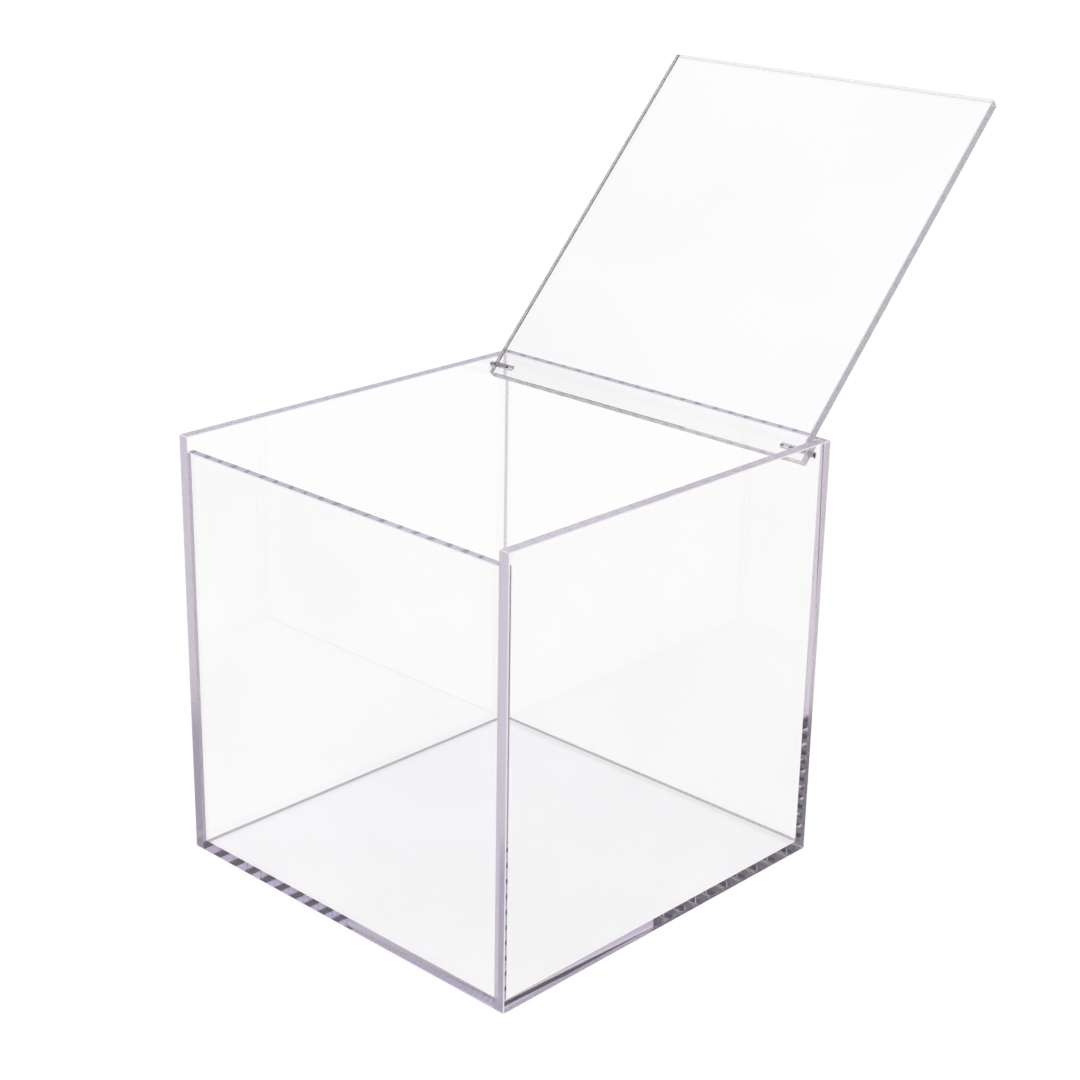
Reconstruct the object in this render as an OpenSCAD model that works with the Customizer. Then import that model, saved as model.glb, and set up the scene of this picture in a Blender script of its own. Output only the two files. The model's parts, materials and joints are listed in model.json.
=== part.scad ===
// Clear acrylic box, open at the top, with a flat lid on two short metal pins.
// Six sawn panels are bonded edge to face. The lid lies on the front wall when
// closed, and opens past upright until it leans on the back wall's top edge.
// Origin: middle of the underside. +Z is up and the front faces -Y. Millimetres.
// The lid is drawn open, as it stands at rest.

/* [Box] */
// Width over the two side walls
box_w = 150; // [80:1:300]
// Depth from the front face to the back face
box_d = 150; // [80:1:300]
// Height of the side walls and of the back wall
box_h = 150; // [60:1:300]

/* [Panels] */
// Thickness of each side wall
side_t = 4; // [3:0.5:8]
// Thickness of the base panel
base_t = 3; // [2:0.5:8]
// Thickness of the front wall
front_t = 3; // [2:0.5:8]
// Thickness of the back wall
back_t = 3; // [2:0.5:4]
// Thickness of the lid
lid_t = 3.5; // [3:0.5:6]
// Leg of the small bevel that eases each open edge
ease = 0.25; // [0.1:0.05:0.5]

/* [Lid] */
// How far the closed lid lies below the tops of the side walls
lid_sink = 1.5; // [0:0.1:3]
// Gap between the lid and each side wall
lid_side_gap = 0.5; // [0.3:0.1:1.5]
// How far the closed lid's front edge stands back from the front face
lid_setback = 0.2; // [0:0.1:2]
// Gap between the closed lid's tail edge and the back wall
lid_tail_gap = 1.3; // [0.8:0.1:2]
// Gap between the closed lid and the front wall's top, so that flat faces only meet
lid_seat_gap = 0.02; // [0.01:0.01:0.2]
// Gap between the open lid and the edge of the back wall that it leans on
lid_stop_gap = 0.05; // [0.02:0.01:0.2]

/* [Hinge] */
// Distance from the hinge axis to the back face
axis_inset = 8.3; // [7.5:0.1:12]
// Diameter of each hinge pin
pin_d = 2; // [1:0.1:2.4]
// Length of each hinge pin
pin_len = 9.7; // [8:0.1:16]
// How far each pin's outer end lies below the side wall's face
pin_recess = 0.3; // [0:0.1:1]
// Leg of the bevel at each end of a pin
pin_ease = 0.2; // [0.1:0.05:0.4]
// Radial clearance of the pin in the lid
pin_clear = 0.05; // [0.01:0.01:0.1]
// Radial interference of the pin in the side wall
pin_press = 0.01; // [0.005:0.005:0.02]
// Empty depth of the lid's hole beyond the pin
hole_spare = 4; // [1:0.5:10]

/* [Hidden] */

// Smoothness of the round pins and holes
round_fn = 48;
// How far a cutting shape runs past the face that it cuts
over = 1;

// The front, back and base panels fit between the side walls
inner_w = box_w - 2 * side_t;
// The lid's underside when closed, which is where the front wall stops
lid_under_z = box_h - lid_sink - lid_t;
front_top_z = lid_under_z - lid_seat_gap;
// Hinge axis: midway through the lid's thickness, parallel to X
axis_y = box_d / 2 - axis_inset;
axis_z = lid_under_z + lid_t / 2;

// The lid, as drawn about the hinge axis while closed
lid_w = inner_w - 2 * lid_side_gap;
lid_tail = axis_inset - back_t - lid_tail_gap;
lid_reach = axis_y + box_d / 2 - lid_setback;
// Depth of the blind hole in each side edge of the lid
pin_in_lid = pin_len + pin_recess - side_t - lid_side_gap;
hole_depth = pin_in_lid + hole_spare;

// Opening angle at which the lid's outer face comes within lid_stop_gap of a
// point of the back wall that lies dy behind the axis and dz above it
function stop_angle(dy, dz) =
    180 - asin((lid_t / 2 + lid_stop_gap) / norm([dy, dz])) - atan2(dz, dy);
// The bevel on the back wall's inner top edge has two corners that could touch
stop_dy = axis_inset - back_t;
stop_dz = box_h - axis_z;
open_angle = min(stop_angle(stop_dy, stop_dz - ease),
                 stop_angle(stop_dy + ease, stop_dz));

// Colours of the clear sheet and of the pins
sheet_colour = [0.84, 0.83, 0.90, 0.35];
pin_colour = [0.66, 0.65, 0.66];

// A square bar turned onto its edge, which planes one bevel; it runs along X
module bevel_bar(length) {
    side = ease * sqrt(2);
    rotate([45, 0, 0]) cube([length + 2 * over, side, side], center = true);
}

// A panel with one corner at the origin. Each list names the edges to ease along
// one direction, by their two other places as 0 or 1 of the panel's size.
module panel(size, along_x = [], along_y = [], along_z = []) {
    difference() {
        cube(size);
        for (e = along_x)
            translate([size.x / 2, e[0] * size.y, e[1] * size.z])
                bevel_bar(size.x);
        for (e = along_y)
            translate([e[0] * size.x, size.y / 2, e[1] * size.z])
                rotate([0, 0, 90]) bevel_bar(size.y);
        for (e = along_z)
            translate([e[0] * size.x, e[1] * size.y, size.z / 2])
                rotate([0, 90, 0]) bevel_bar(size.z);
    }
}

// The base runs under the front and back walls, between the side walls
module base_panel() {
    color(sheet_colour)
        translate([-inner_w / 2, -box_d / 2, 0])
            panel([inner_w, box_d, base_t], along_x = [[0, 0], [1, 0]]);
}

// The front wall stands on the base and ends where the closed lid lies on it
module front_wall() {
    color(sheet_colour)
        translate([-inner_w / 2, -box_d / 2, base_t])
            panel([inner_w, front_t, front_top_z - base_t],
                  along_x = [[0, 1], [1, 1]]);
}

// The back wall stands on the base and is as high as the side walls
module back_wall() {
    color(sheet_colour)
        translate([-inner_w / 2, box_d / 2 - back_t, base_t])
            panel([inner_w, back_t, box_h - base_t],
                  along_x = [[0, 1], [1, 1]]);
}

// A side wall covers the ends of the base, front and back; drawn at +X.
// The pin's hole goes right through it.
module side_wall() {
    difference() {
        translate([inner_w / 2, -box_d / 2, 0])
            panel([side_t, box_d, box_h],
                  along_x = [[0, 0], [1, 0], [0, 1], [1, 1]],
                  along_y = [[0, 1], [1, 0], [1, 1]],
                  along_z = [[1, 0], [1, 1]]);
        translate([inner_w / 2 - over, axis_y, axis_z])
            rotate([0, 90, 0])
                cylinder(h = side_t + 2 * over, r = pin_d / 2 - pin_press,
                         $fn = round_fn);
    }
}

module right_wall() {
    color(sheet_colour) side_wall();
}

module left_wall() {
    color(sheet_colour) mirror([1, 0, 0]) side_wall();
}

// The lid about its hinge axis, closed and level, with a blind hole in each side
module lid_about_axis() {
    every_edge = [[0, 0], [0, 1], [1, 0], [1, 1]];
    difference() {
        translate([-lid_w / 2, -lid_reach, -lid_t / 2])
            panel([lid_w, lid_reach + lid_tail, lid_t],
                  along_x = every_edge, along_y = every_edge,
                  along_z = every_edge);
        for (side = [-1, 1])
            translate([side * (lid_w / 2 - hole_depth), 0, 0])
                rotate([0, side * 90, 0])
                    cylinder(h = hole_depth + over, r = pin_d / 2 + pin_clear,
                             $fn = round_fn);
    }
}

module lid() {
    color(sheet_colour)
        translate([0, axis_y, axis_z])
            rotate([-open_angle, 0, 0]) lid_about_axis();
}

// A round pin along X from the right wall into the lid, bevelled at both ends
module hinge_pin() {
    r = pin_d / 2;
    translate([box_w / 2 - pin_recess - pin_len, axis_y, axis_z])
        rotate([0, 90, 0])
            rotate_extrude($fn = round_fn)
                polygon([[0, 0], [r - pin_ease, 0], [r, pin_ease],
                         [r, pin_len - pin_ease], [r - pin_ease, pin_len],
                         [0, pin_len]]);
}

module right_hinge_pin() {
    color(pin_colour) hinge_pin();
}

module left_hinge_pin() {
    color(pin_colour) mirror([1, 0, 0]) hinge_pin();
}

base_panel();
front_wall();
back_wall();
left_wall();
right_wall();
lid();
left_hinge_pin();
right_hinge_pin();
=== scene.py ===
"""Clear box with a hinged lid: sheets, cut edges, cemented joints, pins and studio.

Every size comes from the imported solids, which are loaded as a fixed frame. A
sheet is a rectangular outline carried along X, with its open edges eased by
quarter rounds, or by flat bevels on the lid. A pin is a turned profile. All
lengths are in metres.
"""

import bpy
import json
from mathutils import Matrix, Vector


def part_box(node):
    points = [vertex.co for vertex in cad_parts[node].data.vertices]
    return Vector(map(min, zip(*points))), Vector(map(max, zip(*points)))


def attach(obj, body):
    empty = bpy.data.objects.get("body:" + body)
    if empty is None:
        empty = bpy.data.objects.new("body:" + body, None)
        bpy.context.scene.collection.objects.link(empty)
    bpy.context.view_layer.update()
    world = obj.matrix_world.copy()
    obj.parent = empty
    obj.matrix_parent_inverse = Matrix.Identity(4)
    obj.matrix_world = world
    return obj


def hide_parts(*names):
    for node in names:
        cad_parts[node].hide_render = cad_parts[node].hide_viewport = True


bl_info = {
    "name": "Clear Hinged Box",
    "version": (1, 0, 0),
    "blender": (4, 5, 0),
    "location": "3D View > Sidebar > Clear Box",
    "description": "Sheets, cut edges, cemented joints and hinge pins of a clear box",
    "category": "Add Mesh",
}

import json
import math

import bmesh
import bpy
import numpy as np
from bpy.props import FloatProperty, FloatVectorProperty, IntProperty, PointerProperty
from mathutils import Matrix, Vector

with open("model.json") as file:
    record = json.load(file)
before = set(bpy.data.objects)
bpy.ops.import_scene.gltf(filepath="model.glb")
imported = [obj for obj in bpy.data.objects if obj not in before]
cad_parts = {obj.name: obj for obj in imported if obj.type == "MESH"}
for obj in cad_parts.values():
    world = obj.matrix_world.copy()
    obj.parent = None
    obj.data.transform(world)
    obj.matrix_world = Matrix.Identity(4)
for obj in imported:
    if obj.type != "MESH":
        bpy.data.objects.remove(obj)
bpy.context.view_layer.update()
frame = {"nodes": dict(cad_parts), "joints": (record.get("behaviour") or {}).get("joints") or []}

MM = 0.001
# The numbers of the axes
X, Y, Z = range(3)
HINGE = frame["joints"][0]
HINGE_PLACE = np.array(HINGE["pos_m"])
HINGE_YZ = HINGE_PLACE[1:]
OPENING = math.radians(HINGE["range_deg"][1])
# Points closer than this are one point
MERGE = 0.002 * MM
# Edges bent by more than this stay sharp on round surfaces
SHARP = math.radians(35)
# A face looks along an axis if that part of its normal is at least this
FACING = 0.9
# The corners of an outline are lower front, lower back, upper back, upper front
LOWER_CORNERS = (0, 1)
UPPER_CORNERS = (2, 3)
EVERY_CORNER = (0, 1, 2, 3)

# The kinds of surface, which are the names of the materials as well
CLEAR = "clear_face"
WELD = "cemented_joint"
HAZY_WELD = "hazy_cemented_joint"
BORE = "drilled_bore"
ARRIS = "eased_arris"
LID_ARRIS = "eased_lid_arris"
LIP_ARRIS = "eased_lip_arris"
FRONT_EDGE = "side_wall_front_edge"
SIDE_TOP = "side_wall_top_edge"
WALL_TOP = "front_and_back_top_edge"
BACK_EDGE = "side_wall_back_edge"
UNDERSIDE = "resting_edge"
# The left wall's lower edge: painted dark, as shade beneath it
DARK_UNDERSIDE = "shaded_resting_edge"
BASE_EDGE = "base_front_edge"
BASE_BACK = "sawn_base_back_edge"
LID_SIDE = "lid_side_edge"
LID_LIP = "lid_lip_edge"
LID_TAIL = "lid_tail_edge"
STEEL = "pin_steel"
# The pins' ends: painted nearly black, as shade in the mouths of the bores
SHADED_PIN_END = "cut_pin_end"
FLOOR = "pale_floor"
# The kinds that are shaded as round surfaces
ROUND = (BORE, STEEL, SHADED_PIN_END)

SIDES = ("bottom", "back", "top", "front")


# -------------------------------------------------------------------- settings

def length(name, description, millimetres, **more):
    """A length setting whose default is given in millimetres."""
    return FloatProperty(name=name, description=description, unit="LENGTH",
                         default=millimetres * MM, precision=5, **more)


def share(name, description, value):
    """A setting without a unit that runs from 0 to 1."""
    return FloatProperty(name=name, description=description, subtype="FACTOR",
                         min=0.0, max=1.0, default=value)


def colour(name, description, value):
    """A colour setting."""
    return FloatVectorProperty(name=name, description=description, subtype="COLOR",
                               size=3, min=0.0, max=2.0, default=value)


class SheetSettings(bpy.types.PropertyGroup):
    """Sizes of the sheets and pins that the solids don't give by themselves."""
    arris: length("Arris", "Radius of the eased edges", 0.25)
    arris_steps: IntProperty(
        name="Arris steps", description="Flat strips round each eased edge",
        default=3, min=1)
    lid_arris_steps: IntProperty(
        name="Lid arris steps", description="Flat strips round the lid's eased edges",
        default=1, min=1)
    weld_film: length("Weld film", "Space left for the cement between two sheets", 0.02)
    pin_press: length("Pin press", "How much smaller a wall's bore is, in radius", 0.01)
    pin_clear: length("Pin clearance", "How much larger the lid's bore is, in radius",
                      0.05)
    bore_spare: length("Spare bore", "Empty depth of the lid's bore beyond the pin", 4.0)
    drill_point: FloatProperty(
        name="Drill point", description="Angle between the drill's axis and its tip",
        subtype="ANGLE", default=math.radians(59))
    pin_bevel: length("Pin bevel", "Radius of the rounded ends of a pin", 0.2)
    pin_bevel_steps: IntProperty(
        name="Pin bevel steps", description="Rings round the end of a pin", default=4,
        min=1)
    round_steps: IntProperty(
        name="Round steps", description="Sides of each bore and pin", default=48, min=12)
    hinge_cell: length("Hinge cell", "Half width of the face that is cut round a bore",
                       2.5)


class FinishSettings(bpy.types.PropertyGroup):
    """Tints and roughnesses of the polished, cut, cemented and metal surfaces."""
    face: colour("Faces", "Tint of the polished faces", (0.975, 0.975, 0.972))
    front: colour("Front edges", "Tint of the side walls' front edges",
                  (0.60, 0.56, 0.65))
    front_rough: share("Front edge roughness", "Roughness of those edges", 0.32)
    top: colour("Top edges", "Tint of the walls' top edges", (0.66, 0.61, 0.68))
    top_rough: share("Top edge roughness", "Roughness of those edges", 0.15)
    back: colour("Back edges", "Tint of the side walls' back edges",
                 (0.80, 0.77, 0.86))
    base_back: colour("Base back edge", "Tint of the base's sawn back edge",
                      (0.50, 0.47, 0.52))
    back_rough: share("Back edge roughness", "Roughness of those edges", 0.18)
    under: colour("Resting edge", "Tint of the right wall's lower edge",
                  (0.85, 0.82, 0.90))
    under_rough: share("Resting edge roughness", "Roughness of that edge", 0.08)
    # Painted shade on the left wall's lower edge, and painted light where light meets that edge
    # steeply
    shaded: colour("Shaded edge", "Tint of the left wall's lower edge",
                   (0.05, 0.045, 0.07))
    steep_painted_light: colour("Shaded edge, seen steeply",
                         "Tint of that edge where light meets it steeply",
                         (0.93, 0.90, 0.94))
    shaded_rough: share("Shaded edge roughness", "Roughness of that edge", 0.6)
    base: colour("Base edge", "Tint of the base's front edge", (0.83, 0.80, 0.89))
    base_rough: share("Base edge roughness", "Roughness of that edge", 0.04)
    lid_side: colour("Lid sides", "Tint of the lid's side edges", (0.74, 0.69, 0.76))
    lid_rough: share("Lid edge roughness", "Roughness of the lid's edges", 0.32)
    lid_lip: colour("Lid lip", "Tint of the lid's lip edge", (0.95, 0.93, 0.96))
    lip_rough: share("Lid lip roughness", "Roughness of that edge", 0.08)
    lid_tail: colour("Lid tail", "Tint of the lid's tail edge", (0.74, 0.69, 0.75))
    arris: colour("Arris", "Tint of the eased corners", (0.88, 0.85, 0.90))
    lid_arris: colour("Lid arris", "Tint of the eased corners at the lid's sides",
                      (0.80, 0.76, 0.82))
    lip_arris: colour("Lip arris", "Tint of the lid's eased lip and tail corners",
                      (0.82, 0.80, 0.81))
    lip_arris_clear: share("Clear share of the lip arris",
                           "Share of light that the lid's eased corners don't scatter",
                           0.7)
    # Painted shade: the lid's side edges look darker where seen through the lid
    lid_inside_shade: colour("Lid sides from within",
                       "Tint of the lid's side edges as seen through the lid",
                       (0.26, 0.25, 0.27))
    cement: colour("Cement", "Tint of the film between two sheets", (0.81, 0.77, 0.82))
    haze: colour("Hazy cement", "Tint of a joint whose cement is hazy",
                 (0.95, 0.91, 0.96))
    haze_clear: share("Clear share of hazy cement",
                      "Share of light that a hazy joint doesn't scatter", 0.15)
    bore: colour("Bores", "Tint of the drilled bores", (0.92, 0.89, 0.94))
    steel: colour("Pin steel", "Colour of the hinge pins", (0.52, 0.42, 0.44))
    # Painted shade: the pins' ends are nearly black, as in the shade of the bores
    pin_end: colour("Pin ends", "Colour of the pins' cut ends", (0.06, 0.05, 0.055))
    mark_spacing: length("Cutter marks", "Distance between the marks on the top edges",
                         7.0)
    saw_spacing: length("Saw marks", "Distance between the marks on sawn edges", 2.6)


class StageSettings(bpy.types.PropertyGroup):
    """The floor, the light and the camera."""
    floor_radius: FloatProperty(
        name="Floor radius", description="How far the pale floor reaches",
        default=12.0, unit="LENGTH")
    floor_drop: length("Floor drop", "Space between the floor and the box", 0.2)
    floor_glow: share("Floor glow", "Light that the lit floor gives by itself", 0.82)
    floor_colour: colour("Floor", "Colour of the floor under the room's light",
                         (0.20, 0.20, 0.20))
    white: colour("Backdrop", "The room where it is seen directly", (1.0, 1.0, 1.0))
    overhead: colour("Overhead", "Soft light from above", (0.90, 0.86, 1.0))
    rear: colour("Rear", "Light from the low rear of the room", (0.80, 0.76, 0.92))
    front: colour("Front", "Light from the low front of the room", (0.02, 0.015, 0.035))
    table: colour("Table", "Light from below the horizon", (0.93, 0.90, 1.0))
    camera_place: FloatVectorProperty(
        name="Camera place", description="Where the camera stands", subtype="XYZ",
        unit="LENGTH", size=3, default=(0.4729, -0.4844, 0.3668))
    camera_turn: FloatVectorProperty(
        name="Camera turn", description="Which way the camera is turned",
        subtype="EULER", size=3,
        default=(math.radians(69.559), math.radians(-0.972), math.radians(43.695)))
    focal_length: FloatProperty(
        name="Focal length", description="Focal length in millimetres", default=72.733)


# ---------------------------------------------------------------- frame places

def span(node):
    """The lowest and highest corner of a CAD node as two arrays."""
    low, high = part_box(node)
    return np.array(low), np.array(high)


def points_of(mesh):
    """A mesh's points as an array with three columns."""
    points = np.empty(len(mesh.vertices) * 3)
    mesh.vertices.foreach_get("co", points)
    return points.reshape(-1, 3)


def pin_radius():
    """The radius of a hinge pin: half of its height."""
    low, high = span("right_hinge_pin")
    return (high[Z] - low[Z]) / 2


def closed_lid_span():
    """The lid's lowest and highest corner once it is turned back to closed: its y
    and z go round the hinge by y cos - z sin and y sin + z cos."""
    points = points_of(frame["nodes"]["lid"].data)
    c, s = math.cos(OPENING), math.sin(OPENING)
    about_x = np.array([[1, 0, 0], [0, c, -s], [0, s, c]])
    shut = (points - HINGE_PLACE) @ about_x.T + HINGE_PLACE
    return shut.min(0), shut.max(0)


# -------------------------------------------------------------- sheet geometry

class Outline:
    """A rectangle in the YZ plane that all rings of a sheet follow. Its sides run
    anticlockwise as seen from +X: bottom, back, top, front. rounded lists the
    corners that are rounded, in that many steps. Stations are extra points on a
    side, by their y or z."""

    def __init__(self, low, high, settings, rounded, stations=None, steps=None):
        self.low, self.high = low[1:], high[1:]
        self.radius, self.steps = settings.arris, steps or settings.arris_steps
        self.rounded = rounded
        self.stations = {side: sorted((stations or {}).get(side, ())) for side in SIDES}

    def ring(self, x, toward, eased, turn):
        """One turn of points round the rectangle. A corner's points are its centre
        plus its radius times (cos, sin) of an angle that runs over 90 degrees. At
        an eased side they draw in by radius (1 - cos turn), and x stands back from
        the cap by radius (1 - sin turn)."""
        draw = self.radius * (1 - math.cos(turn))
        stand = self.radius * (1 - math.sin(turn))
        eased_share = [float(side in eased) for side in SIDES]
        (y0, z0), (y1, z1) = self.low, self.high
        corners = np.array([(y0, z0), (y1, z0), (y1, z1), (y0, z1)])
        inward = np.array([(1, 1), (-1, 1), (-1, -1), (1, -1)])
        outward = np.array([(0, -1), (1, 0), (0, 1), (-1, 0)])
        blocks = []
        for k, side in enumerate(SIDES):
            radius = self.radius if k in self.rounded else 0.0
            t = np.linspace(0, 1, self.steps + 1)
            a = np.radians(180 + 90 * (k + t))
            e = eased_share[k - 1] + (eased_share[k] - eased_share[k - 1]) * t
            around = np.stack([np.cos(a), np.sin(a)], 1)
            yz = corners[k] + inward[k] * radius + (radius - e * draw)[:, None] * around
            blocks.append(np.column_stack([x - toward * e * stand, yz]))
            marks = np.array(self.marks(side))
            along, across = (0, 1) if side in ("bottom", "top") else (1, 0)
            edge = corners[k] - outward[k] * eased_share[k] * draw
            extra = np.empty((len(marks), 3))
            extra[:, 0] = x - toward * eased_share[k] * stand
            extra[:, 1 + along] = marks
            extra[:, 1 + across] = edge[across]
            blocks.append(extra)
        return np.concatenate(blocks)

    def marks(self, side):
        """A side's stations in the order in which a ring passes them."""
        onward = side in ("bottom", "back")
        return self.stations[side] if onward else self.stations[side][::-1]

    def steps_round(self):
        """For each step round a ring: the side it lies on, or None in a corner."""
        found = []
        for side in SIDES:
            found += [None] * self.steps + [side] * (len(self.stations[side]) + 1)
        return found

    def corner(self, k):
        """The numbers of corner k's points within a ring."""
        before = sum(len(self.stations[side]) for side in SIDES[:k])
        first = k * (self.steps + 1) + before
        return list(range(first, first + self.steps + 1))

    def station(self, side, place):
        """The number within a ring of the station at that y or z of a side."""
        return self.corner(SIDES.index(side))[-1] + 1 + self.marks(side).index(place)


class Sheet:
    """Points and faces of one piece, gathered ring by ring."""

    def __init__(self):
        self.points, self.faces, self.kinds = np.empty((0, 3)), [], []

    def add_points(self, points):
        """Adds points, and gives the number of the first."""
        first = len(self.points)
        self.points = np.concatenate([self.points, points])
        return first

    def add_faces(self, faces, kinds):
        """Adds faces with one kind of surface for all, or a list of kinds."""
        self.faces += faces
        self.kinds += [kinds] * len(faces) if isinstance(kinds, str) else kinds


def band(first, second, count):
    """Quads between two rings of count points whose numbers start at first and
    second: point i, its neighbour, and the same two on the other ring."""
    i = np.arange(count)
    j = (i + 1) % count
    return np.stack([first + i, first + j, second + j, second + i], 1).tolist()


def reversed_faces(faces):
    """The same faces, looking the other way."""
    return [face[::-1] for face in faces]


def stitched(outer, inner, points):
    """Triangles between two loops of point numbers round the hinge axis. All points
    are taken in order of their angle, and each new one makes a triangle with the
    last point of either loop."""
    def angles(loop):
        """The angle of each point of a loop round the hinge axis."""
        flat = points[loop][:, 1:] - HINGE_YZ
        return np.arctan2(flat[:, 1], flat[:, 0])

    outer, inner = np.array(outer), np.array(inner)
    outer = np.roll(outer, -int(np.argmin(angles(outer))))
    inner = np.roll(inner, -int(np.argmin(angles(inner))))
    order = np.argsort(np.concatenate([angles(outer), angles(inner)]), kind="stable")
    on_outer = order < len(outer)
    a = (np.cumsum(on_outer) - 1) % len(outer)
    b = (np.cumsum(~on_outer) - 1) % len(inner)
    before = np.where(on_outer, (a - 1) % len(outer), a)
    third = np.where(on_outer, outer[a], inner[b])
    last = np.where(on_outer, b, (b - 1) % len(inner))
    return np.stack([outer[before], third, inner[last]], 1).tolist()


def circle(x, radius, steps):
    """A ring of points hinge + radius (cos a, sin a) in the YZ plane at x."""
    a = np.linspace(0, 2 * math.pi, steps, endpoint=False)
    return np.column_stack([np.full(steps, x), HINGE_YZ[0] + radius * np.cos(a),
                            HINGE_YZ[1] + radius * np.sin(a)])


def carried(outline, x_low, x_high, side_kinds, eased_low=(), eased_high=(),
            cap_arris=ARRIS, rim_arris=ARRIS):
    """A sheet's rim: the outline carried along X from x_low to x_high, with a
    quarter round at each eased side of both caps. cap_arris is the kind of the
    surface that eases the caps, and rim_arris that of the rounded corners. Gives
    the sheet and the loops of point numbers round the low and the high cap."""
    sheet = Sheet()
    turns = np.radians(np.linspace(0, 90, outline.steps + 1))
    rings = [outline.ring(x_low, -1, eased_low, turn) for turn in turns[::-1]]
    rings += [outline.ring(x_high, 1, eased_high, turn) for turn in turns]
    count = len(rings[0])
    starts = [sheet.add_points(ring) for ring in rings]
    nth = {side: iter(side_kinds[side]) for side in SIDES}
    rim = [next(nth[side]) if side else rim_arris for side in outline.steps_round()]
    for row, (a, b) in enumerate(zip(starts, starts[1:])):
        sheet.add_faces(band(a, b, count), rim if row == outline.steps else cap_arris)
    loop = np.arange(count)
    return sheet, starts[0] + loop, starts[-1] + loop


def drilled(sheet, cell, outward, depths, steps, face_kind):
    """Fills the cell of a cap round a bore on the hinge axis. The bore's wall is
    the cap's circle carried to each (depth, radius) below the cap, and a radius
    of 0 closes it. Gives the last ring. outward is +1 for a cap that faces +X."""
    x = sheet.points[cell[0], X]
    first = sheet.add_points(circle(x, depths[0][1], steps))
    ring = first + np.arange(steps)
    faces = stitched(cell, ring, sheet.points)
    sheet.add_faces(faces if outward > 0 else reversed_faces(faces), face_kind)
    for depth, radius in depths:
        start = sheet.add_points(circle(x - outward * depth, radius, steps))
        wall = band(ring[0], start, steps)
        sheet.add_faces(wall if outward > 0 else reversed_faces(wall), BORE)
        ring = start + np.arange(steps)
    return ring


def edge_map(mesh, thin, middle, thickness):
    """Draws the UV map "edge". On a cut edge, u is the distance along the sheet in
    metres, and v runs from -0.5 to 0.5 through its thickness. On a face that
    looks along the thin axis, u and v are the other two coordinates."""
    corner = np.empty(len(mesh.loops), np.int32)
    mesh.loops.foreach_get("vertex_index", corner)
    at = points_of(mesh)[corner]
    normals = np.empty(len(mesh.polygons) * 3)
    mesh.polygons.foreach_get("normal", normals)
    totals = np.empty(len(mesh.polygons), np.int32)
    mesh.polygons.foreach_get("loop_total", totals)
    facing = np.repeat(np.abs(normals.reshape(-1, 3)), totals, 0)
    first, second = [axis for axis in range(3) if axis != thin]
    on_face = facing[:, thin] > FACING
    looks_first = facing[:, first] > facing[:, second]
    along = np.where(looks_first, at[:, second], at[:, first])
    across = (at[:, thin] - middle) / thickness
    uv = np.stack([np.where(on_face, at[:, first], along),
                   np.where(on_face, at[:, second], across)], 1)
    layer = mesh.uv_layers.new(name="edge")
    layer.data.foreach_set("uv", uv.astype(np.float32).ravel())


def finished(name, sheet, body, node, thin, turn=None):
    """Makes a piece: equal points are merged, the edge map is drawn, the lid is
    turned to where it rests, and the piece stands for its CAD node. thin is the
    axis that runs through the sheet's thickness."""
    mesh = bpy.data.meshes.new(name)
    mesh.from_pydata(sheet.points.tolist(), [], sheet.faces)
    kinds = sorted(set(sheet.kinds))
    for kind in kinds:
        mesh.materials.append(finish(kind))
    mesh.polygons.foreach_set("material_index", [kinds.index(k) for k in sheet.kinds])
    shape = bmesh.new()
    shape.from_mesh(mesh)
    bmesh.ops.remove_doubles(shape, verts=shape.verts, dist=MERGE)
    shape.to_mesh(mesh)
    shape.free()
    mesh.set_sharp_from_angle(angle=SHARP)
    mesh.polygons.foreach_set("use_smooth", [kinds[face.material_index] in ROUND
                                             for face in mesh.polygons])
    low, high = sheet.points.min(0), sheet.points.max(0)
    edge_map(mesh, thin, (low[thin] + high[thin]) / 2, high[thin] - low[thin])
    if turn:
        mesh.transform(turn)
    mesh.update()
    piece = bpy.data.objects.new(name, mesh)
    bpy.context.scene.collection.objects.link(piece)
    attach(piece, body)
    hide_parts(node)
    return piece


# ------------------------------------------------------------------ the sheets

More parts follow.
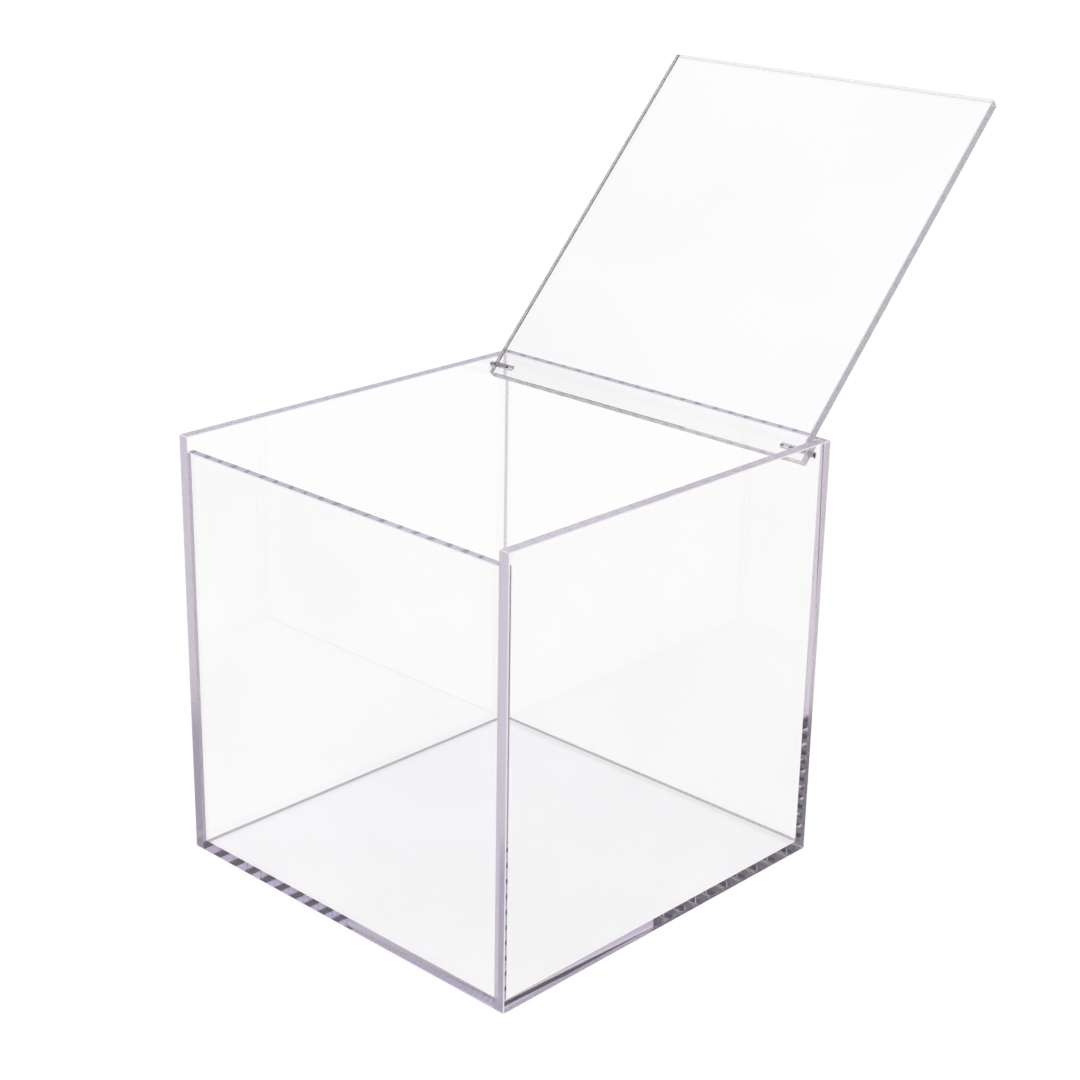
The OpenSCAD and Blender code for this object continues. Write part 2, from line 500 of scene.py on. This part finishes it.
def side_wall_sheet(settings, resting_edge, front_weld):
    """The right wall, with its inner face cut along the outlines of the sheets
    that are welded to it, so that each weld is a surface of its own. Its resting
    edge and its weld to the front wall get the given kinds."""
    low, high = span("right_wall")
    y_front, y_back = span("front_wall")[1][Y], span("back_wall")[0][Y]
    z_base, z_front = span("base_panel")[1][Z], span("front_wall")[1][Z]
    y_a, y_b = HINGE_YZ[0] - settings.hinge_cell, HINGE_YZ[0] + settings.hinge_cell
    marks = [y_front, y_a, y_b, y_back]
    stations = {"bottom": marks, "top": marks, "front": [z_base, z_front],
                "back": [z_base]}
    shape = Outline(low, high, settings, EVERY_CORNER, stations)
    edges = (resting_edge, BACK_EDGE, SIDE_TOP, FRONT_EDGE)
    kinds = {side: [edge] * (len(stations[side]) + 1) for side, edge in zip(SIDES, edges)}
    sheet, inner, outer = carried(shape, low[X], high[X], kinds, ("top",), SIDES)

    def places(loop):
        """The cap's points at the stations of its four sides, and its corners."""
        at = {side: [int(loop[shape.station(side, place)]) for place in stations[side]]
              for side in SIDES}
        corners = [[int(loop[i]) for i in shape.corner(k)] for k in range(len(SIDES))]
        return at["bottom"], at["top"], at["front"], at["back"], corners

    bottom, top, front, back, corner = places(outer)
    a = sheet.add_points(np.array([(high[X], y_a, z_front), (high[X], y_b, z_front)]))
    b = a + 1
    ahead = [*corner[0], bottom[0], bottom[1], a, top[1], top[0], *corner[3], *front[::-1]]
    behind = [bottom[2], bottom[3], *corner[1], *back, *corner[2], top[3], top[2], b]
    sheet.add_faces([ahead, behind, [bottom[1], bottom[2], b, a]], CLEAR)
    bore = pin_radius() - settings.pin_press
    ring = drilled(sheet, [a, b, top[2], top[1]], 1, [(high[X] - low[X], bore)],
                   settings.round_steps, CLEAR)

    bottom, top, front, back, corner = places(inner)
    a = sheet.add_points(np.array([
        (low[X], y, z) for y, z in ((y_front, z_base), (y_back, z_base),
                                    (y_back, z_front), (y_b, z_front),
                                    (y_a, z_front), (y_front, z_front))]))
    b, c, cell_b, cell_a, d = range(a + 1, a + 6)
    foot = [*corner[0], *bottom, *corner[1], *back, b, a, front[0]]
    front_joint = [front[0], a, d, front[1]]
    back_joint = [b, *back, *corner[2], top[3], c]
    sheet.add_faces(reversed_faces([foot, back_joint, front_joint]),
                    [WELD, WELD, front_weld])
    clear = [[front[1], d, top[0], *corner[3]], [a, b, c, cell_b, cell_a, d],
             [d, cell_a, top[1], top[0]], [cell_b, c, top[3], top[2]],
             *stitched([cell_a, cell_b, top[2], top[1]], ring, sheet.points)]
    sheet.add_faces(reversed_faces(clear), CLEAR)
    return sheet


def mirrored(sheet):
    """The sheet on the other side of the YZ plane: x changes its sign, and each
    face's points go round the other way, so that it still faces outwards."""
    other = Sheet()
    other.add_points(sheet.points * (-1, 1, 1))
    other.add_faces(reversed_faces(sheet.faces), sheet.kinds)
    return other


def welded_sheet(settings, node, rounded, stations, side_kinds, lift=0.0):
    """A sheet without bores whose two ends are welded to the side walls: a rim and
    two flat caps, a weld film short of the walls. lift raises its lower edge."""
    low, high = span(node)
    low[Z] += lift
    shape = Outline(low, high, settings, rounded, stations)
    sheet, left, right = carried(shape, low[X] + settings.weld_film,
                                 high[X] - settings.weld_film, side_kinds)
    sheet.add_faces([left[::-1].tolist(), right.tolist()], WELD)
    return sheet


def base_sheet(settings):
    """The base: its top carries the front and the back wall."""
    stations = {"top": [span("front_wall")[1][Y], span("back_wall")[0][Y]]}
    kinds = {"bottom": [CLEAR], "back": [BASE_BACK], "top": [WELD, CLEAR, WELD],
             "front": [BASE_EDGE]}
    return welded_sheet(settings, "base_panel", LOWER_CORNERS, stations, kinds)


def upright_sheet(settings, node):
    """The front or the back wall, which stands on the base."""
    kinds = {"bottom": [WELD], "back": [CLEAR], "top": [WALL_TOP], "front": [CLEAR]}
    return welded_sheet(settings, node, UPPER_CORNERS, {}, kinds, settings.weld_film)


def lid_sheet(settings):
    """The lid as it lies closed, with a blind bore in each side edge. Its edges are
    bevelled flat by default, because a quarter round stands out past the bevel
    once the lid is open, and so past the solid's box."""
    low, high = closed_lid_span()
    marks = [HINGE_YZ[0] - settings.hinge_cell, HINGE_YZ[0] + settings.hinge_cell]
    shape = Outline(low, high, settings, EVERY_CORNER, {"bottom": marks, "top": marks},
                    settings.lid_arris_steps)
    kinds = {"bottom": [CLEAR] * 3, "top": [CLEAR] * 3, "back": [LID_TAIL],
             "front": [LID_LIP]}
    sheet, left, right = carried(shape, low[X], high[X], kinds, SIDES, SIDES,
                                 LID_ARRIS, LIP_ARRIS)
    bore = pin_radius() + settings.pin_clear
    depth = high[X] - span("right_hinge_pin")[0][X] + settings.bore_spare
    tip = bore / math.tan(settings.drill_point)
    for loop, outward in ((left, -1), (right, 1)):
        loop = loop.tolist()
        bottom = [shape.station("bottom", y) for y in marks]
        top = [shape.station("top", y) for y in marks]
        ahead = loop[top[0]:] + loop[:bottom[0] + 1]
        behind = loop[bottom[1]:top[1] + 1]
        ends = [ahead, behind]
        sheet.add_faces(ends if outward > 0 else reversed_faces(ends), LID_SIDE)
        cell = [loop[i] for i in (bottom[0], bottom[1], top[1], top[0])]
        drilled(sheet, cell, outward, [(depth - tip, bore), (depth, 0.0)],
                settings.round_steps, LID_SIDE)
    return sheet


def turned_pin(settings, node):
    """A pin as a solid of revolution about the hinge axis: each point of its profile
    (place along X, radius) goes round a full circle. Its ends are quarter rounds:
    place bevel (1 - cos t), radius r - bevel + bevel sin t."""
    low, high = span(node)
    radius, bevel = pin_radius(), settings.pin_bevel
    t = np.linspace(0, math.pi / 2, settings.pin_bevel_steps + 1)
    inward, out = bevel * (1 - np.cos(t)), radius - bevel + bevel * np.sin(t)
    x = np.concatenate([[low[X]], low[X] + inward, high[X] - inward[::-1], [high[X]]])
    r = np.concatenate([[0.0], out, out[::-1], [0.0]])
    pin = Sheet()
    steps = settings.round_steps
    starts = [pin.add_points(circle(*place, steps)) for place in zip(x, r)]
    # The end rings get the painted shade of the bores' mouths
    ends = (0, len(starts) - 2)
    for row, (first, second) in enumerate(zip(starts, starts[1:])):
        pin.add_faces(band(first, second, steps), SHADED_PIN_END if row in ends else STEEL)
    return pin


# ------------------------------------------------------------------ node trees

class Tree:
    """Adds nodes to a node tree and feeds their sockets with values or links."""

    def __init__(self, tree):
        self.tree = tree

    def feed(self, socket, value):
        """Links a socket to an output, or gives it a plain value."""
        if isinstance(value, bpy.types.NodeSocket):
            self.tree.links.new(value, socket)
        else:
            socket.default_value = value

    def add(self, kind, inputs=None, **settings):
        """A node of that kind, with its inputs by name or number."""
        node = self.tree.nodes.new("ShaderNode" + kind)
        for key, value in settings.items():
            setattr(node, key, value)
        for key, value in (inputs or {}).items():
            self.feed(node.inputs[key], value)
        return node

    def maths(self, operation, *values):
        """One step of arithmetic."""
        return self.add("Math", dict(enumerate(values)), operation=operation).outputs[0]

    def mix(self, factor, first, second):
        """The first colour at factor 0, and the second at factor 1."""
        inputs = {"Factor": factor, 6: first, 7: second}
        return self.add("Mix", inputs, data_type="RGBA").outputs[2]

    def ramp(self, value, low, high):
        """A smooth step from 0 at low to 1 at high."""
        inputs = {"Value": value, "From Min": low, "From Max": high}
        return self.add("MapRange", inputs, interpolation_type="SMOOTHSTEP").outputs[0]

    def placed(self, group, inputs):
        """A copy of a node group in this tree."""
        node = self.add("Group", node_tree=group)
        for key, value in inputs.items():
            self.feed(node.inputs[key], value)
        return node


def new_group(name, inputs, outputs):
    """An empty shader node group with named sockets, each given as its name, its
    kind and, for an input, its default."""
    group = bpy.data.node_groups.new(name, "ShaderNodeTree")
    for title, kind, value in inputs:
        socket = group.interface.new_socket(title, in_out="INPUT",
                                            socket_type="NodeSocket" + kind)
        if value is not None:
            socket.default_value = value
    for title, kind in outputs:
        group.interface.new_socket(title, in_out="OUTPUT",
                                   socket_type="NodeSocket" + kind)
    tree = Tree(group)
    return group, tree, group.nodes.new("NodeGroupInput"), group.nodes.new("NodeGroupOutput")


def cutter_marks():
    """Shared effect: marks across an edge at even spacing. The mark is
    ((1 + cos(2 pi place / spacing)) / 2) to the power of sharpness, where place
    is u plus slant times v, and wanders by a slow noise."""
    name = "Cutter marks"
    if name in bpy.data.node_groups:
        return bpy.data.node_groups[name]
    group, tree, start, end = new_group(
        name,
        [("Vector", "Vector", None), ("Spacing", "Float", 7 * MM),
         ("Slant", "Float", 1 * MM), ("Wander", "Float", 1 * MM),
         ("Sharpness", "Float", 4.0)],
        [("Mark", "Float")])
    thickness, noise_scale = 4 * MM, 90.0
    split = tree.add("SeparateXYZ", {0: start.outputs["Vector"]})
    u, v = split.outputs["X"], split.outputs["Y"]
    flat = tree.add("CombineXYZ", {"X": u, "Y": tree.maths("MULTIPLY", v, thickness)})
    noise = tree.add("TexNoise", {"Vector": flat.outputs[0], "Scale": noise_scale})
    wander = tree.maths("MULTIPLY", tree.maths("SUBTRACT", noise.outputs[0], 0.5),
                        start.outputs["Wander"])
    slanted = tree.maths("MULTIPLY_ADD", v, start.outputs["Slant"], u)
    place = tree.maths("ADD", slanted, wander)
    phase = tree.maths("DIVIDE", tree.maths("MULTIPLY", place, 2 * math.pi),
                       start.outputs["Spacing"])
    wave = tree.maths("MULTIPLY_ADD", tree.maths("COSINE", phase), 0.5, 0.5)
    tree.feed(end.inputs["Mark"], tree.maths("POWER", wave, start.outputs["Sharpness"]))
    return group


def uneven_tint():
    """Shared effect: a tint that drifts between two colours with a slow noise."""
    name = "Uneven tint"
    if name in bpy.data.node_groups:
        return bpy.data.node_groups[name]
    group, tree, start, end = new_group(
        name,
        [("Vector", "Vector", None), ("Tint", "Color", None),
         ("Second tint", "Color", None), ("Scale", "Float", 60.0)],
        [("Tint", "Color")])
    low, high = 0.35, 0.65
    noise = tree.add("TexNoise", {"Vector": start.outputs["Vector"],
                                  "Scale": start.outputs["Scale"]})
    drift = tree.ramp(noise.outputs[0], low, high)
    tree.feed(end.inputs["Tint"], tree.mix(drift, start.outputs["Tint"],
                                           start.outputs["Second tint"]))
    return group


def new_material(name, **values):
    """A material with a Principled shader, whose plain sockets take the values."""
    material = bpy.data.materials.new(name)
    material.use_nodes = True
    material.node_tree.nodes.clear()
    tree = Tree(material.node_tree)
    inputs = {key.replace("_", " "): value for key, value in values.items()}
    shader = tree.add("BsdfPrincipled", inputs)
    tree.add("OutputMaterial", {"Surface": shader.outputs[0]})
    return material, tree, shader


def solid(tint, scale=1.0):
    """A colour with alpha, made darker by scale."""
    return (*[part * scale for part in tint], 1.0)


# ------------------------------------------------------------------- materials

ACRYLIC_IOR = 1.49
# How much of a tint is left in a bubble and in a ring of a bore
BUBBLE_SHADE = 0.8
RING_SHADE = 0.8
# Layer Weight's facing value up to which an edge has its steep tint, a painted
# light, alone, and the one from which it has none of it
STEEP_FULL = 0.4
STEEP_GONE = 0.6


def drifting(tree, where, tint, scale, shade):
    """A tint that drifts towards a darker one, of which shade is the share that is
    left. A larger scale makes smaller patches."""
    return tree.placed(uneven_tint(), {
        "Vector": where, "Scale": scale, "Tint": solid(tint),
        "Second tint": solid(tint, shade)}).outputs[0]


def marked(tree, where, spacing, slant, wander, sharpness):
    """The mask of the cutter's marks. All lengths are in metres."""
    return tree.placed(cutter_marks(), {
        "Vector": where, "Spacing": spacing, "Slant": slant, "Wander": wander,
        "Sharpness": sharpness}).outputs[0]


def roughened(tree, mark, extra, rough):
    """A roughness that is larger by extra within a mark."""
    return tree.maths("MULTIPLY_ADD", mark, extra, rough)


def clear_face(finishes):
    """Polished acrylic: optically clear, with a tint that drifts very slightly."""
    material, tree, shader = new_material(CLEAR, Roughness=0.0, IOR=ACRYLIC_IOR,
                                          Transmission_Weight=1.0)
    where = tree.add("TexCoord").outputs["Object"]
    tint = drifting(tree, where, finishes.face, scale=14.0, shade=0.985)
    tree.feed(shader.inputs["Base Color"], tint)
    return material


def cut_edge(name, tint, rough, spacing, clear=1.0, dark=0.8, sharpness=4.0, slant=1.0,
             wander=1.0, steep=None, inside=None):
    """A cut edge of acrylic: tinted and satin, with darker, rougher marks of the
    cutter across it. clear is the share of light that it doesn't scatter, and dark
    is the tint's share that is left in a mark. slant and wander are in
    millimetres. Where they are given, steep is a painted light: the tint that the
    edge takes where light meets it steeply, by Layer Weight's facing; and inside
    is a painted shade: the darker tint of the edge as seen from within the sheet."""
    material, tree, shader = new_material(name, IOR=ACRYLIC_IOR,
                                          Transmission_Weight=clear)
    where = tree.add("UVMap", uv_map="edge").outputs[0]
    mark = marked(tree, where, spacing, slant * MM, wander * MM, sharpness)
    base = drifting(tree, where, tint, scale=45.0, shade=0.93)
    shown = tree.mix(mark, base, solid(tint, dark))
    # Painted light: where light meets the edge steeply, the steep tint takes over
    if steep:
        slope = tree.add("LayerWeight", {"Blend": 0.5}).outputs["Facing"]
        shown = tree.mix(tree.ramp(slope, STEEP_FULL, STEEP_GONE), solid(steep), shown)
    # Painted shade: seen from within the sheet, the edge takes the inside tint
    if inside:
        within = tree.add("NewGeometry").outputs["Backfacing"]
        shown = tree.mix(within, shown, solid(inside))
    tree.feed(shader.inputs["Base Color"], shown)
    tree.feed(shader.inputs["Roughness"], roughened(tree, mark, extra=0.08, rough=rough))
    return material


def clear_film(name, film, clear):
    """A tinted film that light goes straight through, with a few tiny darker
    bubbles: the cement that joins two sheets without a gap, or the flame-polished
    arris of the lid. clear is the share of light that it doesn't scatter."""
    material, tree, shader = new_material(name, Roughness=0.0, IOR=1.0,
                                          Transmission_Weight=clear)
    where = tree.add("TexCoord").outputs["Object"]
    cells_per_metre, bubble_size = 260.0, 0.12
    cells = tree.add("TexVoronoi", {"Vector": where, "Scale": cells_per_metre})
    bubble = tree.maths("LESS_THAN", cells.outputs["Distance"], bubble_size)
    tint = tree.mix(bubble, solid(film), solid(film, BUBBLE_SHADE))
    tree.feed(shader.inputs["Base Color"], tint)
    return material


def drilled_bore(finishes):
    """The satin wall that a drill leaves in acrylic, ringed by its feed."""
    material, tree, shader = new_material(BORE, IOR=ACRYLIC_IOR, Transmission_Weight=1.0)
    where = tree.add("TexCoord").outputs["Object"]
    ring = marked(tree, where, spacing=0.6 * MM, slant=0.0, wander=0.2 * MM,
                  sharpness=2.0)
    tint = tree.mix(ring, solid(finishes.bore), solid(finishes.bore, RING_SHADE))
    tree.feed(shader.inputs["Base Color"], tint)
    tree.feed(shader.inputs["Roughness"], roughened(tree, ring, extra=0.15, rough=0.25))
    return material


def steel(name, colour_of_steel):
    """Turned steel, ringed by the tool, with a tint that drifts."""
    material, tree, shader = new_material(name, Metallic=1.0)
    where = tree.add("TexCoord").outputs["Object"]
    ring = marked(tree, where, spacing=0.35 * MM, slant=0.0, wander=0.3 * MM,
                  sharpness=1.5)
    tint = drifting(tree, where, colour_of_steel, scale=500.0, shade=0.75)
    tree.feed(shader.inputs["Base Color"], tint)
    tree.feed(shader.inputs["Roughness"], roughened(tree, ring, extra=0.12, rough=0.42))
    bump = tree.add("Bump", {"Strength": 0.5, "Distance": 0.01 * MM, "Height": ring})
    tree.feed(shader.inputs["Normal"], bump.outputs[0])
    return material


def finish(kind):
    """The material of that kind of surface, made once."""
    if kind in bpy.data.materials:
        return bpy.data.materials[kind]
    f = bpy.context.scene.clear_box_finishes
    special = {CLEAR: clear_face, BORE: drilled_bore}
    if kind in special:
        return special[kind](f)
    films = {WELD: (f.cement, 1.0), HAZY_WELD: (f.haze, f.haze_clear),
             LIP_ARRIS: (f.lip_arris, f.lip_arris_clear)}
    if kind in films:
        return clear_film(kind, *films[kind])
    # The pins' ends are painted nearly black as shade in the bores
    steels = {STEEL: f.steel, SHADED_PIN_END: f.pin_end}
    if kind in steels:
        return steel(kind, steels[kind])
    saw, cutter = f.saw_spacing, f.mark_spacing
    edges = {
        FRONT_EDGE: dict(tint=f.front, rough=f.front_rough, spacing=saw, dark=0.93,
                         clear=0.7),
        SIDE_TOP: dict(tint=f.top, rough=f.top_rough, spacing=cutter, dark=0.9,
                       clear=0.4),
        WALL_TOP: dict(tint=f.top, rough=f.top_rough, spacing=cutter, dark=0.4,
                       sharpness=5.0, wander=6.0, clear=0.5),
        BACK_EDGE: dict(tint=f.back, rough=f.back_rough, spacing=saw, dark=0.8,
                        slant=2.0, wander=3.0),
        BASE_BACK: dict(tint=f.base_back, rough=f.back_rough, spacing=saw, dark=0.4,
                        slant=2.0, wander=3.0, clear=0.85),
        UNDERSIDE: dict(tint=f.under, rough=f.under_rough, spacing=saw, dark=0.95),
        # Painted shade: the left wall's lower edge is dark, with painted light where light meets
        # it steeply
        DARK_UNDERSIDE: dict(tint=f.shaded, rough=f.shaded_rough, spacing=saw,
                             clear=0.2, steep=f.steep_painted_light),
        BASE_EDGE: dict(tint=f.base, rough=f.base_rough, spacing=saw / 2, dark=0.85),
        # The lid's side edges are painted darker where seen through the lid
        LID_SIDE: dict(tint=f.lid_side, rough=f.lid_rough, spacing=cutter, clear=0.5,
                       dark=0.9, inside=f.lid_inside_shade),
        LID_LIP: dict(tint=f.lid_lip, rough=f.lip_rough, spacing=cutter, dark=0.95),
        LID_TAIL: dict(tint=f.lid_tail, rough=f.lid_rough, spacing=cutter, clear=0.6),
        ARRIS: dict(tint=f.arris, rough=0.3, spacing=saw, clear=0.0, dark=0.95),
        # Its eased corners too are painted darker where seen through the lid
        LID_ARRIS: dict(tint=f.lid_arris, rough=0.3, spacing=cutter, clear=0.2,
                        dark=0.97, inside=f.lid_inside_shade),
    }
    return cut_edge(kind, **edges[kind])


# ----------------------------------------------------------------------- stage

def pale_floor(stage):
    """A plain white floor that is lit evenly from all around."""
    white = (1.0, 1.0, 1.0)
    material, tree, shader = new_material(
        FLOOR, Roughness=0.9, Specular_IOR_Level=0.0,
        Emission_Color=solid(white), Emission_Strength=stage.floor_glow)
    where = tree.add("TexCoord").outputs["Object"]
    tint = drifting(tree, where, stage.floor_colour, scale=2.0, shade=0.99)
    tree.feed(shader.inputs["Base Color"], tint)
    return material


def add_floor(stage):
    """A level disc: its rim is radius (cos a, sin a)."""
    steps = 96
    a = np.linspace(0, 2 * math.pi, steps, endpoint=False)
    rim = np.column_stack([stage.floor_radius * np.cos(a),
                           stage.floor_radius * np.sin(a),
                           np.full(steps, -stage.floor_drop)])
    mesh = bpy.data.meshes.new("floor")
    mesh.from_pydata(rim.tolist(), [], [list(range(steps))])
    mesh.materials.append(pale_floor(stage))
    floor = bpy.data.objects.new("floor", mesh)
    bpy.context.scene.collection.objects.link(floor)


def light_room(stage):
    """A soft white room. Seen directly, or straight through the box, it is plain
    white. Light that a polished surface has turned back comes from a room that
    is bright overhead, pale at the rear and on the table, and dim in front."""
    world = bpy.data.worlds.new("soft_studio")
    world.use_nodes = True
    world.node_tree.nodes.clear()
    tree = Tree(world.node_tree)
    way = tree.add("SeparateXYZ", {0: tree.add("TexCoord").outputs["Generated"]})
    # Each pair is where one light begins to give way to the next, and where it has
    front_to_rear = (-0.3, 0.3)
    low_to_overhead = (0.45, 0.8)
    table_to_room = (-0.05, 0.02)
    rearward = tree.ramp(way.outputs["Y"], *front_to_rear)
    upward = tree.ramp(way.outputs["Z"], *low_to_overhead)
    above_table = tree.ramp(way.outputs["Z"], *table_to_room)
    room = tree.mix(rearward, solid(stage.front), solid(stage.rear))
    room = tree.mix(upward, room, solid(stage.overhead))
    room = tree.mix(above_table, solid(stage.table), room)
    light = tree.add("LightPath").outputs
    half = 0.5
    turned_back = tree.maths("GREATER_THAN", light["Glossy Depth"], half)
    not_scattered = tree.maths("LESS_THAN", light["Diffuse Depth"], half)
    shows_room = tree.maths("MULTIPLY", turned_back, not_scattered)
    seen = tree.mix(shows_room, solid(stage.white), room)
    background = tree.add("Background", {"Color": seen})
    tree.add("OutputWorld", {"Surface": background.outputs[0]})
    scene = bpy.context.scene
    scene.world = world
    # Light crosses many surfaces inside the sheets, and stays sharp on its way
    bounces = 64
    scene.cycles.max_bounces = bounces
    scene.cycles.glossy_bounces = bounces
    scene.cycles.transmission_bounces = bounces
    scene.cycles.transparent_max_bounces = bounces
    scene.cycles.blur_glossy = 0.0
    scene.view_settings.view_transform = "Standard"


def add_camera(stage):
    """The camera, with a full-frame sensor and no shift."""
    data = bpy.data.cameras.new("camera")
    data.sensor_width = 36.0
    data.lens = stage.focal_length
    data.clip_start = 0.01
    data.clip_end = 100.0
    camera = bpy.data.objects.new("camera", data)
    camera.location = stage.camera_place
    camera.rotation_euler = stage.camera_turn
    bpy.context.scene.collection.objects.link(camera)
    bpy.context.scene.camera = camera


# ------------------------------------------------------------------- operators

class CLEARBOX_OT_side_walls(bpy.types.Operator):
    """Make the two side walls, which cover the ends of the other sheets"""
    bl_idname = "clearbox.side_walls"
    bl_label = "Side walls"

    def execute(self, context):
        sheets = context.scene.clear_box_sheets
        right = side_wall_sheet(sheets, UNDERSIDE, WELD)
        # The left wall's resting edge is painted in shade
        left = mirrored(side_wall_sheet(sheets, DARK_UNDERSIDE, HAZY_WELD))
        finished("right_side_wall", right, "box", "right_wall", X)
        finished("left_side_wall", left, "box", "left_wall", X)
        return {"FINISHED"}


class CLEARBOX_OT_base(bpy.types.Operator):
    """Make the base between the side walls"""
    bl_idname = "clearbox.base"
    bl_label = "Base"

    def execute(self, context):
        sheet = base_sheet(context.scene.clear_box_sheets)
        finished("base", sheet, "box", "base_panel", Z)
        return {"FINISHED"}


class CLEARBOX_OT_front_and_back(bpy.types.Operator):
    """Make the front and the back wall, which stand on the base"""
    bl_idname = "clearbox.front_and_back"
    bl_label = "Front and back walls"

    def execute(self, context):
        for name in ("front", "back"):
            node = name + "_wall"
            sheet = upright_sheet(context.scene.clear_box_sheets, node)
            finished(name + "_pane", sheet, "box", node, Y)
        return {"FINISHED"}


class CLEARBOX_OT_lid(bpy.types.Operator):
    """Make the lid, drilled for its pins and turned open to where it rests"""
    bl_idname = "clearbox.lid"
    bl_label = "Lid"

    def execute(self, context):
        hinge = Vector(HINGE["pos_m"])
        turn = (Matrix.Translation(hinge) @ Matrix.Rotation(-OPENING, 4, "X")
                @ Matrix.Translation(-hinge))
        sheet = lid_sheet(context.scene.clear_box_sheets)
        finished("lid_pane", sheet, "lid", "lid", Z, turn)
        return {"FINISHED"}


class CLEARBOX_OT_hinge_pins(bpy.types.Operator):
    """Make the two turned pins that the lid swings on"""
    bl_idname = "clearbox.hinge_pins"
    bl_label = "Hinge pins"

    def execute(self, context):
        for side in ("left", "right"):
            node = side + "_hinge_pin"
            pin = turned_pin(context.scene.clear_box_sheets, node)
            finished(side + "_pin", pin, "box", node, X)
        return {"FINISHED"}


class CLEARBOX_OT_stage(bpy.types.Operator):
    """Make the pale floor, the soft light and the camera"""
    bl_idname = "clearbox.stage"
    bl_label = "Stage"

    def execute(self, context):
        stage = context.scene.clear_box_stage
        add_floor(stage)
        light_room(stage)
        add_camera(stage)
        return {"FINISHED"}


OPERATORS = (CLEARBOX_OT_side_walls, CLEARBOX_OT_base, CLEARBOX_OT_front_and_back,
             CLEARBOX_OT_lid, CLEARBOX_OT_hinge_pins, CLEARBOX_OT_stage)
SETTINGS = {"clear_box_sheets": SheetSettings, "clear_box_finishes": FinishSettings,
            "clear_box_stage": StageSettings}


class CLEARBOX_PT_sidebar(bpy.types.Panel):
    """The pieces of the box and their settings"""
    bl_label = "Clear Box"
    bl_space_type = "VIEW_3D"
    bl_region_type = "UI"
    bl_category = "Clear Box"

    def draw(self, context):
        for operator in OPERATORS:
            self.layout.operator(operator.bl_idname)
        for name, settings in SETTINGS.items():
            box = self.layout.box()
            for key in settings.__annotations__:
                box.prop(getattr(context.scene, name), key)


CLASSES = (*SETTINGS.values(), *OPERATORS, CLEARBOX_PT_sidebar)


def register():
    for cls in CLASSES:
        bpy.utils.register_class(cls)
    for name, settings in SETTINGS.items():
        setattr(bpy.types.Scene, name, PointerProperty(type=settings))


def unregister():
    for name in SETTINGS:
        delattr(bpy.types.Scene, name)
    for cls in reversed(CLASSES):
        bpy.utils.unregister_class(cls)


def main():
    """Make every piece and the stage."""
    register()
    bpy.ops.clearbox.side_walls()
    bpy.ops.clearbox.base()
    bpy.ops.clearbox.front_and_back()
    bpy.ops.clearbox.lid()
    bpy.ops.clearbox.hinge_pins()
    bpy.ops.clearbox.stage()


if __name__ == "__main__":
    main()
